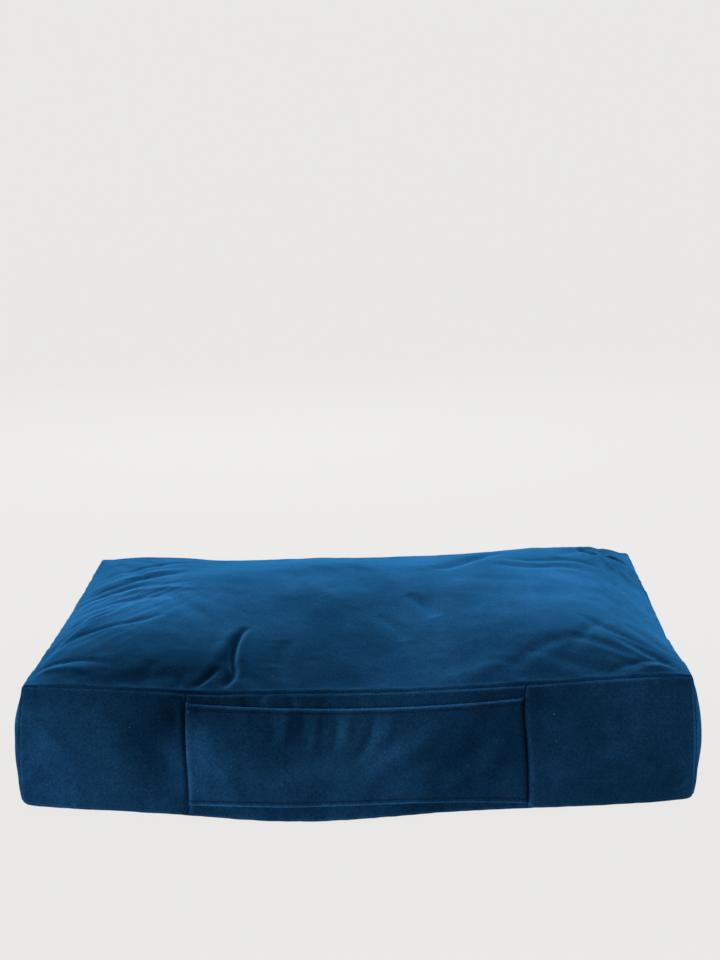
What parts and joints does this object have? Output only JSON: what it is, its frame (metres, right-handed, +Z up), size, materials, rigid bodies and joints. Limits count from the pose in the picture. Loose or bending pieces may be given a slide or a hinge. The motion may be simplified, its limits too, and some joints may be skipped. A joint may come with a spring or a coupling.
{
  "type": "pet cushion bed",
  "caption": "Rectangular boxed floor cushion for a pet, with a crowned top, a wide carry handle across the front and a zip along the back.",
  "frame": {"origin": "bottom centre of the whole bed's bounding box, on the floor, with the handle and the zip slider included", "axes": "+X along the long side, to the right as seen from the front; -Y towards the front wall that carries the handle; +Z up"},
  "size_m": [0.9158, 0.7286, 0.22],
  "materials": {
    "velvet": "deep blue cotton velvet with a short dense pile",
    "thread": "spun polyester sewing thread, matched to the velvet",
    "zip_tape": "woven polyester tape",
    "zip_coil": "nylon monofilament coil, satin",
    "zip_metal": "nickel-plated die-cast zinc, lightly worn",
    "liner": "coated water-resistant polyester",
    "foam": "open-cell polyurethane foam",
    "fibre": "loose hollow polyester fibre",
    "label": "blank woven satin ribbon"
  },
  "bodies": {
    "cover": {"cover_base_panel": "velvet", "front_wall_left": "velvet", "front_wall_centre": "velvet", "front_wall_right": "velvet", "side_wall_left": "velvet", "side_wall_right": "velvet", "back_wall_upper": "velvet", "back_wall_lower": "velvet", "zip_end_tab_left": "velvet", "zip_end_tab_right": "velvet", "zip_tape_upper": "zip_tape", "zip_tape_lower": "zip_tape", "zip_coil_upper": "zip_coil", "zip_coil_lower": "zip_coil", "zip_top_stops": "zip_metal", "zip_bottom_stop": "zip_metal", "zip_stitches_upper": "thread", "zip_stitches_lower": "thread", "care_label": "label", "liner_wall": "liner", "liner_base": "liner", "foam_slab": "foam", "fibre_fill": "fibre"},
    "cushion_top": {"cover_top_panel": "velvet", "liner_top": "liner"},
    "handle": {"handle_lining": "velvet", "handle_face": "velvet", "handle_stitches_upper": "thread", "handle_stitches_lower": "thread"},
    "zip_slider_body": {"zip_slider": "zip_metal"},
    "zip_puller_body": {"zip_puller": "zip_metal"}
  },
  "joints": [
    {"name": "cushion_press", "type": "slide", "parent": "cover", "child": "cushion_top", "axis": [0, 0, -1], "range_m": [0, 0.04], "stiffness_N_per_m": 3000, "deforming": ["fibre_fill", "liner_wall"]},
    {"name": "handle_pull", "type": "slide", "parent": "cover", "child": "handle", "axis": [0, -1, 0], "range_m": [0, 0.03], "stiffness_N_per_m": 900},
    {"name": "zip_slide", "type": "slide", "parent": "cover", "child": "zip_slider_body", "axis": [-1, 0, 0], "range_m": [0, 0.76]},
    {"name": "puller_swing", "type": "hinge", "parent": "zip_slider_body", "child": "zip_puller_body", "pos_m": [0.38, 0.36257, 0.075], "axis": [0, 0, -1], "range_deg": [0, 170]}
  ]
}
